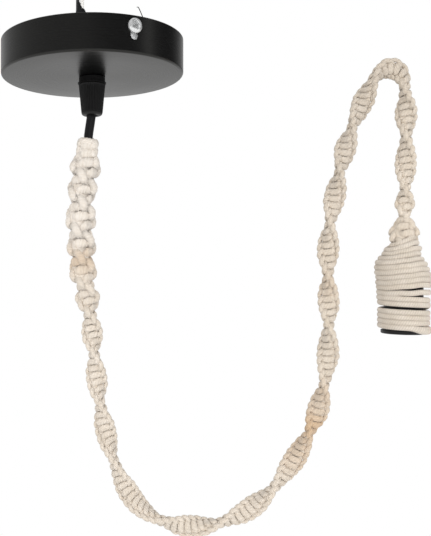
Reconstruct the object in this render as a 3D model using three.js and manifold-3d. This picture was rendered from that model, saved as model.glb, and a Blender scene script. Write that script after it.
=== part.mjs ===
// Pendant cord set: a ceiling cup, a cord grip, a flex in a knotted cotton sleeve and a lamp holder.
// Every size is in millimetres. The origin is the middle of the ceiling face, Z points up,
// X runs from the cup to the lamp holder, and Y points away from the viewer.
import * as THREE from "three";
import Module from "manifold-3d";

const wasm = await Module();
wasm.setup();

// Clearances
const GAP = 0.3;
const HOLE_PLAY = 0.3;
const CUT_OVER = 2;

// Ceiling cup
const CUP_R = 60;
const CUP_H = 22.5;
const CUP_WALL = 0.8;
const CUP_EDGE_R = 1.6;
const CUP_SIDES = 56;

// Side screws and the slots that they sit in
const SCREW_AZIMUTH = 24.5;
const SCREW_Z = -6.4;
const SCREW_HEAD_R = 4.25;
const SCREW_HEAD_H = 2.6;
const SCREW_SHANK_R = 2;
const SCREW_LENGTH = 9;
const SCREW_SIDES = 16;
const RECESS_LENGTH = 5;
const RECESS_WIDTH = 0.9;
const RECESS_DEPTH = 1.5;
const SLOT_WIDTH = 5;
const SLOT_DROP = 8;
const SLOT_LOW_Z = SCREW_Z - SLOT_DROP;

// Bracket that the cup hangs on
const STRAP_WIDTH = 18;
const STRAP_T = 1.6;
const STRAP_BEND_R = 3;
const EAR_DROP = 10.6;
const EAR_LOW_Z = SCREW_Z - EAR_DROP;
const STRAP_SLOT_MID = 32;
const STRAP_SLOT_LENGTH = 14;
const STRAP_SLOT_WIDTH = 4.5;

// Cord grip
const STEM_R = 4.9;
const STEM_INSIDE = 7.5;
const STEM_TOP_Z = -CUP_H + STEM_INSIDE;
const STEM_BORE_R = 3.7;
const COLLAR_R = 8.7;
const COLLAR_H = 3.7;
const COLLAR_LOW_Z = -CUP_H - COLLAR_H;
const FLANGE_R = 9.4;
const FLANGE_T = 1;
const FLANGE_LOW_Z = COLLAR_LOW_Z - FLANGE_T;
const STEM_LOW_R = 5.9;
const STEM_TAIL = 6.8;
const STEM_LOW_Z = FLANGE_LOW_Z - STEM_TAIL;
const CONE_TOP_R = 8.8;
const CONE_END_R = 6.9;
const CONE_LENGTH = 20.6;
const CONE_LOW_Z = FLANGE_LOW_Z - CONE_LENGTH;
const CONE_ROUND = 1.4;
const CONE_RIBS = 32;
const RIB_DEPTH = 0.35;
const CONE_FLOOR = 4.3;
const CONE_WALL_Z = CONE_LOW_Z + CONE_FLOOR;
const COLLET_LOW_R = 4.6;
const COLLET_PLAY = 0.5;
const COLLET_LOW_Z = CONE_WALL_Z + COLLET_PLAY;
const WASHER_R = 8.5;
const WASHER_T = 1;
const LOCKNUT_FLATS = 14;
const LOCKNUT_T = 3;
const GRIP_SIDES = 20;

// Flat twin flex
const FLEX_WIDTH = 6;
const FLEX_THICK = 3;
const FLEX_POINTS = 8;

// Route of the flex, hand chosen, as x and z from the cup to the lamp holder
const ROUTE = [
  [0, -17], [0, -34], [-0.4, -47], [-2.3, -61], [-4.4, -82], [-6.6, -98], [-7.5, -114], [-7.1, -132],
  [-6.4, -148], [-3.2, -167], [-0.6, -185], [3.2, -223], [6.2, -243], [10.8, -263.5], [18.4, -286.5],
  [29.7, -304.5], [43, -314.5], [60, -319.5], [80.9, -318.5], [100.5, -310.5], [117, -298], [133, -277],
  [143.8, -258], [151.6, -236], [155.6, -212], [156.8, -188], [156.3, -138], [158.2, -116], [168, -69],
  [174.3, -50.5], [180, -37.5], [184.6, -27.2], [189.2, -20.2], [195.8, -16.4], [202.4, -18.4],
  [206.3, -24.8], [207.6, -37], [208, -64], [206.6, -124], [206.2, -142],
];

// Where the sleeve turns edge-on to the viewer, as lengths along the route
const NECKS = [
  71.3, 87.0, 108.3, 124.2, 143.0, 161.5, 187.9, 221.1, 259.3, 308.7, 348.1, 390.4, 435.4, 468.4,
  508.4, 541.3, 576.0, 611.4, 641.9, 677.5, 717.0, 747.6, 782.2, 797.7, 818.7,
];
// Down to here the wide side of the sleeve faces the viewer
const TWIST_START = 62;
// Half width and half thickness of the sleeve, at lengths along the route
const SLEEVE_SIZES = [
  [46.1, 7.4, 5.6], [54, 7.7, 6.1], [61, 9.8, 6.5], [124, 9.7, 6.5], [142, 8.6, 5.4], [156, 7.8, 4.4],
  [170, 7.2, 3.5], [240, 7.1, 3.4], [500, 7.1, 3.3], [781.7, 6.9, 3.6], [790.7, 6, 3.9], [797.7, 6.1, 3.7],
  [808.1, 8.5, 6], [814.2, 7.6, 6.5],
];
const SLEEVE_STEP = 6;
const SLEEVE_MIN_STEPS = 4;
const SLEEVE_MAX_STEPS = 4;
const SLEEVE_MAX_BEND = 0.45;
const BORE_PLAY = 0.35;
const FLEX_STEP = 8;

// Lamp holder: the cap from its neck to its skirt, then the lower shell down to the lip at its mouth
const HOLDER_X = 206.2;
const HOLDER_R = 12.2;
const HOLDER_WALL = 1.6;
const HOLDER_SIDES = 26;
const CAP_TOP_Z = -134.5;
const CAP_NECK_R = 5.6;
const CAP_NECK_H = 4;
const CAP_NECK_Z = CAP_TOP_Z - CAP_NECK_H;
const CAP_BORE_R = 3.7;
const CAP_SHOULDER_H = 10.5;
const CAP_SHOULDER_Z = CAP_NECK_Z - CAP_SHOULDER_H;
const CAP_ROUND = 1;
const CAP_SKIRT = 11;
const CAP_LOW_Z = CAP_SHOULDER_Z - CAP_SKIRT;
const CAP_ROOF = 2;
const SHELL_LENGTH = 32;
const HOLDER_LOW_Z = CAP_LOW_Z - SHELL_LENGTH;
const LIP_OUT = 1.9;
const LIP_R = HOLDER_R + LIP_OUT;
const LIP_H = 2.4;
const LIP_EDGE = 0.6;
const SHELL_LEDGE = 1.4;
const SHELL_LEDGE_T = 1.4;
const INSERT_RIM_R = HOLDER_R - HOLDER_WALL - GAP;
const INSERT_STEP = 1.4;
const INSERT_R = INSERT_RIM_R - INSERT_STEP;
const INSERT_RISE = 7;
const INSERT_TOP_Z = CAP_LOW_Z + INSERT_RISE;
const INSERT_RIM_Z = CAP_LOW_Z + GAP;
const INSERT_SEAT = 5;
const INSERT_LOW_Z = CAP_LOW_Z - INSERT_SEAT;

// Cotton rope wound round the lamp holder
const ROPE_R = 1.5;
const ROPE_POINTS = 7;
const WRAP_PITCH = 2 * ROPE_R + GAP;
const WRAP_STEPS = 14;
const WRAP_RISE = 1.1;
const WRAP_TOP_Z = CAP_TOP_Z + WRAP_RISE;
const WRAP_PLAY = 0.6;
const WRAP_LOW_Z = HOLDER_LOW_Z + LIP_H + ROPE_R + WRAP_PLAY;
// By depth below the cap's top: how far the rope's inner side stands outside the holder's radius
const WRAP_CLEAR = [
  [-1.5, -5.3], [2, -4], [5.5, -2], [9.5, 0.2], [13.5, 1.5], [19.5, 1.5], [29.5, 1.2], [36.5, 0.6], [57.5, 0.5],
];
// Slack turns, by the same depth, and how much further apart they lie
const WRAP_SLACK = [[29, 0.9], [33.3, 0.9], [39.1, 1.7]];

// Screw shell for the small lamp cap, its contact and its terminals
const THREAD_R = 7;
const THREAD_WALL = 0.4;
const THREAD_FLARE = 0.6;
const THREAD_RECESS = 5;
const THREAD_LOW_Z = HOLDER_LOW_Z + THREAD_RECESS;
const THREAD_SIDES = 20;
const CONTACT_WIDTH = 4;
const CONTACT_LENGTH = 9;
const CONTACT_DROP = 3.4;
const CONTACT_T = 0.5;
const TERMINAL_HEAD_R = 2.2;
const TERMINAL_EDGE = 0.7;
const TERMINAL_OUT = INSERT_R - TERMINAL_HEAD_R - TERMINAL_EDGE;
const TERMINAL_HEAD_H = 1.6;
const TERMINAL_SHANK_R = 1.4;
const TERMINAL_SHANK = 5;
const TERMINAL_SLOT = 0.6;

// Insulated conductors
const WIRE_R = 1.2;
const WIRE_POINTS = 7;
const WIRE_APART = 1.7;
const WIRE_TOP_Z = 36;
// Where the two conductors pass the bracket's edge, and where they lean to above the cup
const WIRE_PAST_STRAP = 0.6;
const WIRE_ALONG_STRAP = [-7.4, -3.6];
const WIRE_ABOVE = [[-9.6, 2], [-6.6, -1]];
const WIRE_STEPS = 9;
const COPPER_R = 0.7;
const COPPER_LENGTH = 7;

const TURN = 2 * Math.PI;
const range = (n) => Array.from({ length: n }, (_, i) => i);
const rad = THREE.MathUtils.degToRad;
const root = new THREE.Group();

// Materials
const paint = (color, roughness, metalness = 0) =>
  new THREE.MeshStandardMaterial({ color, roughness, metalness });
const SATIN_BLACK = paint(0x17181a, 0.35, 0.3);
const ZINC = paint(0xc9ccd0, 0.35, 0.9);
const BLACK_PLASTIC = paint(0x111214, 0.45);
const BLACK_FLEX = paint(0x16181b, 0.3);
const WHITE_WIRE = paint(0xe9e8e4, 0.4);
const COTTON = paint(0xeee3d2, 0.95);
const CERAMIC = paint(0xe8e6df, 0.3);
const BRASS = paint(0xc7a35a, 0.35, 0.9);
const COPPER = paint(0xb8734a, 0.35, 0.9);

// Turns the faces outward, whichever way the profile ran
function facingOut(geometry) {
  const p = geometry.getAttribute("position");
  const index = geometry.index.array;
  const [a, b, c] = [new THREE.Vector3(), new THREE.Vector3(), new THREE.Vector3()];
  let volume = 0;
  for (let i = 0; i < index.length; i += 3) {
    a.fromBufferAttribute(p, index[i]);
    b.fromBufferAttribute(p, index[i + 1]);
    c.fromBufferAttribute(p, index[i + 2]);
    volume += a.dot(b.cross(c));
  }
  if (volume < 0)
    for (let i = 0; i < index.length; i += 3) [index[i + 1], index[i + 2]] = [index[i + 2], index[i + 1]];
  return geometry;
}

// Two triangles between neighbouring rings. A ring that turns backwards needs the other diagonal
const quad = (a, b, c, d, backward) => (backward ? [a, b, d, a, d, c] : [a, b, c, b, d, c]);

// Skin over closed rings of points, with a flat fan over each end
function loft(rings) {
  const n = rings[0].length;
  const index = [];
  for (const i of range(rings.length - 1))
    for (const j of range(n)) {
      const [a, b] = [i * n + j, i * n + ((j + 1) % n)];
      index.push(...quad(a, b, a + n, b + n, false));
    }
  const last = (rings.length - 1) * n;
  for (const j of range(n - 2)) index.push(0, j + 2, j + 1, last, last + j + 1, last + j + 2);
  const geometry = new THREE.BufferGeometry().setFromPoints(rings.flat());
  return facingOut(geometry.setIndex(index));
}

// Skin over a tube: along the outside, over the end and back up the bore, where the rings turn backwards
function loftTube(outer, inner) {
  const n = outer[0].length;
  const loops = [...outer, ...[...inner].reverse()];
  const index = [];
  for (const i of range(loops.length)) {
    const next = ((i + 1) % loops.length) * n;
    for (const j of range(n)) {
      const [a, b] = [i * n + j, i * n + ((j + 1) % n)];
      const [c, d] = [next + j, next + ((j + 1) % n)];
      index.push(...quad(a, b, c, d, i >= outer.length));
    }
  }
  const geometry = new THREE.BufferGeometry().setFromPoints(loops.flat());
  return facingOut(geometry.setIndex(index));
}

// Solid of revolution about Z from a closed profile of radius and height
function revolve(profile, sides) {
  const axial = profile.filter(([r]) => r === 0).length > 0;
  const points = profile.map(([r, z]) => new THREE.Vector2(r, z));
  if (!axial) points.push(points[0].clone());
  return facingOut(new THREE.LatheGeometry(points, sides).rotateX(Math.PI / 2));
}

// Quarter turn of a fillet, from one angle to another, as profile points
function arc(r0, z0, radius, from, to, steps) {
  return range(steps + 1).map((i) => {
    const a = rad(from + ((to - from) * i) / steps);
    return [r0 + radius * Math.cos(a), z0 + radius * Math.sin(a)];
  });
}

// Geometry to solid and back, for cutting and joining
function solid(geometry) {
  const welded = new Map();
  const verts = [];
  const p = geometry.getAttribute("position");
  const source = geometry.index ? geometry.index.array : range(p.count);
  const tris = Array.from(source, (i) => {
    const key = [p.getX(i), p.getY(i), p.getZ(i)].map((v) => Math.round(v * 1000) + 0).join();
    if (!welded.has(key)) {
      welded.set(key, verts.length / 3);
      verts.push(p.getX(i), p.getY(i), p.getZ(i));
    }
    return welded.get(key);
  });
  const faces = [];
  for (let i = 0; i < tris.length; i += 3) {
    const [a, b, c] = tris.slice(i, i + 3);
    if (a !== b && b !== c && a !== c) faces.push(a, b, c);
  }
  return new wasm.Manifold(
    new wasm.Mesh({
      numProp: 3,
      vertProperties: new Float32Array(verts),
      triVerts: new Uint32Array(faces),
    }),
  );
}

function geometryOf(made) {
  const mesh = made.getMesh();
  const geometry = new THREE.BufferGeometry();
  geometry.setAttribute("position", new THREE.BufferAttribute(mesh.vertProperties, 3));
  return geometry.setIndex(new THREE.BufferAttribute(mesh.triVerts, 1));
}

const cut = (body, ...tools) =>
  geometryOf(tools.reduce((left, tool) => left.subtract(solid(tool)), solid(body)));

// Box by its low and high corner
const box = ([x0, y0, z0], [x1, y1, z1]) =>
  new THREE.BoxGeometry(x1 - x0, y1 - y0, z1 - z0).translate((x0 + x1) / 2, (y0 + y1) / 2, (z0 + z1) / 2);

// Cylinder along Z between two heights
const post = (radius, low, high, sides) =>
  new THREE.CylinderGeometry(radius, radius, high - low, sides)
    .rotateX(Math.PI / 2)
    .translate(0, 0, (low + high) / 2);

function place(name, geometry, material, x = 0) {
  const mesh = new THREE.Mesh(geometry.translate(x, 0, 0), material);
  mesh.name = name;
  root.add(mesh);
}

// Turns a piece that was made along X to a side screw's direction
const FRONT = rad(SCREW_AZIMUTH - 90);
const toScrew = (geometry, side) => geometry.rotateZ(FRONT + (side > 0 ? 0 : Math.PI));

// Ceiling cup
function cupProfile() {
  const inner = CUP_EDGE_R - CUP_WALL;
  const hole = STEM_R + HOLE_PLAY;
  const [low, corner] = [-CUP_H, -CUP_H + CUP_EDGE_R];
  return [
    [hole, low],
    ...arc(CUP_R - CUP_EDGE_R, corner, CUP_EDGE_R, -90, 0, 2),
    [CUP_R, 0],
    [CUP_R - CUP_WALL, 0],
    ...arc(CUP_R - CUP_EDGE_R, corner, inner, 0, -90, 1),
    [hole, low + CUP_WALL],
  ];
}

function slotTool(side) {
  const half = SLOT_WIDTH / 2;
  const top = SCREW_Z + half;
  const reach = CUP_R + CUT_OVER;
  const depth = CUP_R - CUP_EDGE_R - CUT_OVER;
  const round = (z) => new THREE.CylinderGeometry(half, half, reach - depth, 10).rotateZ(Math.PI / 2)
    .translate((reach + depth) / 2, 0, z);
  const body = box([depth, -half, SLOT_LOW_Z + half], [reach, half, top - half]);
  const joined = solid(body).add(solid(round(top - half))).add(solid(round(SLOT_LOW_Z + half)));
  return toScrew(geometryOf(joined), side);
}

// Bracket: a strap with its ends bent down into tapped ears
function bracket() {
  const innerR = CUP_R - CUP_WALL;
  const half = Math.sqrt(innerR ** 2 - (STRAP_WIDTH / 2) ** 2) - GAP;
  const [r, t] = [STRAP_BEND_R, STRAP_T];
  const outline = new THREE.Shape();
  outline.moveTo(half, EAR_LOW_Z).absarc(half - r, -r, r, 0, Math.PI / 2, false);
  outline.absarc(r - half, -r, r, Math.PI / 2, Math.PI, false).lineTo(-half, EAR_LOW_Z);
  outline.lineTo(t - half, EAR_LOW_Z).absarc(r - half, -r, r - t, Math.PI, Math.PI / 2, true);
  outline.absarc(half - r, -r, r - t, Math.PI / 2, 0, true).lineTo(half - t, EAR_LOW_Z);
  const strap = new THREE.ExtrudeGeometry(outline, { depth: STRAP_WIDTH, bevelEnabled: false, curveSegments: 4 })
    .rotateX(Math.PI / 2)
    .translate(0, STRAP_WIDTH / 2, 0);
  const slot = (x) => box(
    [x - STRAP_SLOT_LENGTH / 2, -STRAP_SLOT_WIDTH / 2, -t - CUT_OVER],
    [x + STRAP_SLOT_LENGTH / 2, STRAP_SLOT_WIDTH / 2, CUT_OVER],
  );
  const tapped = (SCREW_SHANK_R + HOLE_PLAY);
  const bores = new THREE.CylinderGeometry(tapped, tapped, 2 * CUP_R, 12)
    .rotateZ(Math.PI / 2)
    .translate(0, 0, SCREW_Z);
  return toScrew(cut(strap, slot(STRAP_SLOT_MID), slot(-STRAP_SLOT_MID), bores), 1);
}

// Pan-head screw with a cross recess, lying along X with its head outward
function sideScrew(side) {
  const dome = [[SCREW_HEAD_R, 0.9], [SCREW_HEAD_R * 0.86, 1.8], [SCREW_HEAD_R * 0.5, 2.4]];
  const profile = [
    [0, -SCREW_LENGTH],
    [SCREW_SHANK_R * 0.7, -SCREW_LENGTH],
    [SCREW_SHANK_R, -SCREW_LENGTH + 1],
    [SCREW_SHANK_R, 0],
    [SCREW_HEAD_R, 0],
    ...dome,
    [0, SCREW_HEAD_H],
  ];
  const [l, w] = [RECESS_LENGTH / 2, RECESS_WIDTH / 2];
  const [low, high] = [SCREW_HEAD_H - RECESS_DEPTH, SCREW_HEAD_H + CUT_OVER];
  const recess = (turn) => box([-l, -w, low], [l, w, high]).rotateZ(rad(turn));
  const screw = cut(revolve(profile, SCREW_SIDES), recess(20), recess(110));
  return toScrew(screw.rotateY(Math.PI / 2).translate(CUP_R + GAP, 0, SCREW_Z), side);
}

// Cord grip: threaded stem with its collar and flange
function gripStem() {
  return revolve([
    [STEM_BORE_R, STEM_TOP_Z],
    [STEM_R, STEM_TOP_Z],
    [STEM_R, -CUP_H - GAP],
    [COLLAR_R, -CUP_H - GAP],
    [COLLAR_R, COLLAR_LOW_Z],
    [FLANGE_R, COLLAR_LOW_Z],
    [FLANGE_R, FLANGE_LOW_Z],
    [STEM_LOW_R, FLANGE_LOW_Z],
    [STEM_LOW_R, STEM_LOW_Z],
    [STEM_BORE_R, STEM_LOW_Z],
  ], GRIP_SIDES);
}

// One ring of the ribbed cone: every other point stands out
function ribRing(radius, depth, z) {
  return range(2 * CONE_RIBS).map((i) => {
    const a = (TURN * i) / (2 * CONE_RIBS);
    const r = radius - (i % 2 ? depth : 0);
    return new THREE.Vector3(r * Math.cos(a), r * Math.sin(a), z);
  });
}

function gripCone() {
  const top = FLANGE_LOW_Z - GAP;
  const slope = (CONE_TOP_R - CONE_END_R) / (top - CONE_LOW_Z);
  const shoulder = CONE_LOW_Z + CONE_ROUND;
  const at = (z) => CONE_END_R + slope * (z - CONE_LOW_Z);
  const round = arc(CONE_END_R - CONE_ROUND, shoulder, CONE_ROUND, -90, 0, 2).slice(0, 2);
  const body = loft([
    ...round.map(([r, z]) => ribRing(r, 0, z)),
    ribRing(at(shoulder), RIB_DEPTH / 2, shoulder),
    ribRing(at(shoulder + CONE_ROUND), RIB_DEPTH, shoulder + CONE_ROUND),
    ribRing(CONE_TOP_R, RIB_DEPTH, top),
  ]);
  const bore = FLEX_WIDTH / 2 + 2 * HOLE_PLAY;
  const hollow = revolve([
    [0, top + CUT_OVER],
    [STEM_LOW_R + HOLE_PLAY, top + CUT_OVER],
    [STEM_LOW_R + HOLE_PLAY, STEM_LOW_Z - GAP],
    [COLLET_LOW_R + HOLE_PLAY, CONE_WALL_Z],
    [bore, CONE_WALL_Z],
    [bore, CONE_LOW_Z - CUT_OVER],
    [0, CONE_LOW_Z - CUT_OVER],
  ], GRIP_SIDES);
  return cut(body, hollow);
}

function gripCollet() {
  const bore = FLEX_WIDTH / 2 + HOLE_PLAY;
  const top = STEM_LOW_Z - GAP;
  return revolve([
    [bore, top],
    [STEM_LOW_R - HOLE_PLAY, top],
    [COLLET_LOW_R, COLLET_LOW_Z],
    [bore, COLLET_LOW_Z],
  ], GRIP_SIDES);
}

const WASHER_Z = -CUP_H + CUP_WALL + GAP;
const LOCKNUT_Z = WASHER_Z + WASHER_T + GAP;

function gripWasher() {
  return cut(
    post(WASHER_R, WASHER_Z, WASHER_Z + WASHER_T, GRIP_SIDES),
    post(STEM_R + HOLE_PLAY, WASHER_Z - CUT_OVER, LOCKNUT_Z, GRIP_SIDES),
  );
}

function gripLocknut() {
  const across = LOCKNUT_FLATS / 2 / Math.cos(Math.PI / 6);
  const top = LOCKNUT_Z + LOCKNUT_T;
  return cut(
    post(across, LOCKNUT_Z, top, 6),
    post(STEM_R + HOLE_PLAY, LOCKNUT_Z - CUT_OVER, top + CUT_OVER, GRIP_SIDES),
  );
}

// The route as a smooth curve in the plane of the ceiling cup's axis and the lamp holder's
const route = new THREE.CatmullRomCurve3(
  ROUTE.map(([x, z]) => new THREE.Vector3(x, 0, z)), false, "centripetal",
);
route.arcLengthDivisions = 2000;
const routeLength = route.getLength();

// Straight line through [length, value, ...] stations
function between(table, s, column = 1) {
  const next = table.findIndex((row) => row[0] > s);
  if (next === 0) return table[0][column];
  if (next < 0) return table[table.length - 1][column];
  const [a, b] = [table[next - 1], table[next]];
  return a[column] + ((b[column] - a[column]) * (s - a[0])) / (b[0] - a[0]);
}

// From the start of the twist a quarter turn to the first neck, then half a turn from neck to neck
const TWIST = [[0, 0], [TWIST_START, 0], ...NECKS.map((s, i) => [s, Math.PI * (i + 0.5)])];
const twistAt = (s) => between(TWIST, s);

// Ring of the flex or of the sleeve at a length along the route
function section(s, halfWidth, halfThick, square) {
  const u = Math.min(Math.max(s / routeLength, 0), 1);
  const centre = route.getPointAt(u);
  const along = route.getTangentAt(u);
  const back = new THREE.Vector3(0, 1, 0);
  const side = new THREE.Vector3().crossVectors(along, back).normalize();
  const [c, d] = [Math.cos(twistAt(s)), Math.sin(twistAt(s))];
  return range(FLEX_POINTS).map((j) => {
    const a = (TURN * (j + 0.5)) / FLEX_POINTS;
    const bulge = (v) => Math.sign(v) * Math.abs(v) ** square;
    const [p, q] = [halfWidth * bulge(Math.cos(a)), halfThick * bulge(Math.sin(a))];
    return centre.clone().addScaledVector(side, p * c - q * d).addScaledVector(back, p * d + q * c);
  });
}

// Lengths for the rings: a few to each half turn, and more where the route bends hard
function stations() {
  const [start, end] = [SLEEVE_SIZES[0][0], SLEEVE_SIZES.at(-1)[0]];
  const marks = [start, TWIST_START, ...NECKS.filter((s) => s > start && s < end), end];
  const list = marks.slice(1).flatMap((to, i) => {
    const from = marks[i];
    const fewest = to - from < SLEEVE_STEP ? 1 : SLEEVE_MIN_STEPS;
    const n = Math.min(Math.max(Math.round((to - from) / SLEEVE_STEP), fewest), SLEEVE_MAX_STEPS);
    return range(n).map((k) => from + ((to - from) * k) / n);
  });
  list.push(marks.at(-1));
  const angle = (a, b) => route.getTangentAt(a / routeLength).angleTo(route.getTangentAt(b / routeLength));
  return list.flatMap((s, i) =>
    i && angle(list[i - 1], s) > SLEEVE_MAX_BEND ? [(list[i - 1] + s) / 2, s] : [s],
  );
}

const rings = stations();

// Flat corners of the section reach this far with the rounding that the flex and the sleeve use
const FLEX_SQUARE = 0.6;
const SLEEVE_SQUARE = 0.75;

function flexRings() {
  const before = range(Math.floor(rings[0] / FLEX_STEP)).map((i) => i * FLEX_STEP);
  const tail = [(rings.at(-1) + routeLength) / 2, routeLength];
  return [...before, ...rings, ...tail].map((s) =>
    section(s, FLEX_WIDTH / 2, FLEX_THICK / 2, FLEX_SQUARE),
  );
}

function macrameSleeve() {
  const outer = rings.map((s) =>
    section(s, between(SLEEVE_SIZES, s), between(SLEEVE_SIZES, s, 2), SLEEVE_SQUARE),
  );
  const inner = rings.map((s) =>
    section(s, FLEX_WIDTH / 2 + BORE_PLAY, FLEX_THICK / 2 + BORE_PLAY, FLEX_SQUARE),
  );
  return loftTube(outer, inner);
}

// Rope wound round the holder: heights first, then a ring in the plane through the holder's axis
function wrapHeights() {
  const heights = [WRAP_TOP_Z];
  while (heights.at(-1) > WRAP_LOW_Z) {
    const z = heights.at(-1);
    const depth = CAP_TOP_Z - z;
    const slack = WRAP_SLACK.filter(([at]) => depth >= at && depth < at + WRAP_PITCH);
    const extra = slack.reduce((sum, [, more]) => sum + more, 0);
    heights.push(z - (WRAP_PITCH + extra) / WRAP_STEPS);
  }
  return heights;
}

function holderWrap() {
  const heights = wrapHeights();
  const last = heights.length - 1;
  return loft(heights.map((z, i) => {
    const turn = (TURN * i) / WRAP_STEPS;
    const r = i === 0 || i === last ? ROPE_R / 2 : ROPE_R;
    const out = HOLDER_R + between(WRAP_CLEAR, CAP_TOP_Z - z) + ROPE_R;
    return range(ROPE_POINTS).map((j) => {
      const a = (TURN * (j + 0.5)) / ROPE_POINTS;
      const reach = out + r * Math.cos(a);
      return new THREE.Vector3(reach * Math.cos(turn), reach * Math.sin(turn), z + r * Math.sin(a));
    });
  }));
}

// Lamp holder cap: neck, shoulder and upper body
function holderCap() {
  const inner = HOLDER_R - HOLDER_WALL;
  return revolve([
    [CAP_BORE_R, CAP_TOP_Z],
    [CAP_NECK_R, CAP_TOP_Z],
    [CAP_NECK_R, CAP_NECK_Z],
    [HOLDER_R - CAP_ROUND, CAP_SHOULDER_Z + CAP_ROUND],
    [HOLDER_R, CAP_SHOULDER_Z - CAP_ROUND],
    [HOLDER_R, CAP_LOW_Z],
    [inner, CAP_LOW_Z],
    [inner, CAP_SHOULDER_Z - CAP_ROUND],
    [CAP_BORE_R, CAP_NECK_Z - CAP_ROOF],
  ], HOLDER_SIDES);
}

// Lower shell: a ledge that carries the insert, a plain wall and a lip at the mouth
function holderShell() {
  const inner = HOLDER_R - HOLDER_WALL;
  const top = CAP_LOW_Z - GAP;
  const lipTop = HOLDER_LOW_Z + LIP_H;
  const ledge = INSERT_LOW_Z - GAP;
  return revolve([
    [inner, top],
    [HOLDER_R, top],
    [HOLDER_R, lipTop],
    [LIP_R, lipTop],
    [LIP_R, HOLDER_LOW_Z + LIP_EDGE],
    [LIP_R - LIP_EDGE, HOLDER_LOW_Z],
    [inner, HOLDER_LOW_Z],
    [inner, ledge - SHELL_LEDGE_T],
    [inner - SHELL_LEDGE, ledge - SHELL_LEDGE_T],
    [inner - SHELL_LEDGE, ledge],
    [inner, ledge],
  ], HOLDER_SIDES);
}

// Insert: a ceramic block with a rim, bored for the two terminal screws
function holderInsert() {
  const block = revolve([
    [0, INSERT_TOP_Z],
    [INSERT_R, INSERT_TOP_Z],
    [INSERT_R, INSERT_RIM_Z],
    [INSERT_RIM_R, INSERT_RIM_Z],
    [INSERT_RIM_R, INSERT_LOW_Z],
    [0, INSERT_LOW_Z],
  ], HOLDER_SIDES);
  const hole = (side) =>
    post(TERMINAL_SHANK_R + HOLE_PLAY, INSERT_TOP_Z - TERMINAL_SHANK - 2 * GAP, INSERT_TOP_Z + CUT_OVER, 12)
      .translate(side * TERMINAL_OUT, 0, 0);
  return cut(block, hole(1), hole(-1));
}

// Screw shell: a thin plain wall, turned out at the mouth. Its thread is fine detail
function screwShell() {
  const top = INSERT_LOW_Z - GAP;
  const wall = (radius) => [
    [radius, top],
    [radius, THREAD_LOW_Z + THREAD_FLARE],
    [radius + THREAD_FLARE, THREAD_LOW_Z],
  ];
  return revolve([...wall(THREAD_R + THREAD_WALL), ...wall(THREAD_R).reverse()], THREAD_SIDES);
}

// Spring contact: a strip that drops from the insert to meet the lamp's tip
function centreContact() {
  const top = INSERT_LOW_Z - GAP;
  const [half, t] = [CONTACT_LENGTH / 2, CONTACT_T];
  const low = top - CONTACT_DROP;
  const strip = new THREE.Shape([
    [-half, top], [-half / 3, top], [half / 2, low + t], [half, low + t], [half, low],
    [half / 2 - t / 2, low], [-half / 3 - t / 2, top - t], [-half, top - t],
  ].map(([x, z]) => new THREE.Vector2(x, z)));
  return new THREE.ExtrudeGeometry(strip, { depth: CONTACT_WIDTH, bevelEnabled: false })
    .rotateX(Math.PI / 2)
    .translate(0, CONTACT_WIDTH / 2, 0);
}

function terminalScrew(side) {
  const seat = INSERT_TOP_Z + GAP;
  const screw = revolve([
    [0, seat - TERMINAL_SHANK],
    [TERMINAL_SHANK_R, seat - TERMINAL_SHANK],
    [TERMINAL_SHANK_R, seat],
    [TERMINAL_HEAD_R, seat],
    [TERMINAL_HEAD_R, seat + TERMINAL_HEAD_H * 0.7],
    [TERMINAL_HEAD_R * 0.7, seat + TERMINAL_HEAD_H],
    [0, seat + TERMINAL_HEAD_H],
  ], 12);
  const [w, top] = [TERMINAL_SLOT / 2, seat + TERMINAL_HEAD_H];
  const driver = box([-TERMINAL_HEAD_R - 1, -w, top - TERMINAL_SLOT], [TERMINAL_HEAD_R + 1, w, top + CUT_OVER]);
  return cut(screw, driver.rotateZ(rad(side * 35))).translate(side * TERMINAL_OUT, 0, 0);
}

// Round wire along a short curve, given by its points
function wire(points, radius) {
  const curve = new THREE.CatmullRomCurve3(points.map((p) => new THREE.Vector3(...p)));
  const frames = curve.computeFrenetFrames(WIRE_STEPS, false);
  return loft(range(WIRE_STEPS + 1).map((i) => {
    const centre = curve.getPointAt(i / WIRE_STEPS);
    return range(WIRE_POINTS).map((j) => {
      const a = (TURN * j) / WIRE_POINTS;
      return centre.clone()
        .addScaledVector(frames.normals[i], radius * Math.cos(a))
        .addScaledVector(frames.binormals[i], radius * Math.sin(a));
    });
  }));
}

// A place beside the strap: so far along it, and so far across
const alongStrap = (along, across) => [
  along * Math.cos(FRONT) - across * Math.sin(FRONT),
  along * Math.sin(FRONT) + across * Math.cos(FRONT),
];

// The two conductors, side by side out of the flex's end, past the bracket's edge and up
function upperWire(side) {
  const start = ROUTE[0][1] + GAP;
  const x = side * WIRE_APART;
  const pick = side > 0 ? 1 : 0;
  const past = -STRAP_WIDTH / 2 - WIRE_R - WIRE_PAST_STRAP;
  const beside = alongStrap(WIRE_ALONG_STRAP[pick], past);
  const above = WIRE_ABOVE[pick];
  const middle = (beside[0] + x) / 2;
  return wire([
    [x, 0, start],
    [x, 0, STEM_TOP_Z + 2 * WIRE_R],
    [middle, beside[1] / 2, STEM_TOP_Z / 2 + side * WIRE_R],
    [...beside, -2 * STRAP_T],
    [...beside, -STRAP_T / 2],
    [...above, WIRE_TOP_Z * 0.6],
    [...above, WIRE_TOP_Z],
  ], WIRE_R);
}

function copperEnd(side) {
  const low = WIRE_TOP_Z + GAP;
  const [x, y] = WIRE_ABOVE[side > 0 ? 1 : 0];
  return post(COPPER_R, low, low + COPPER_LENGTH, WIRE_POINTS).translate(x, y, 0);
}

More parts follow.
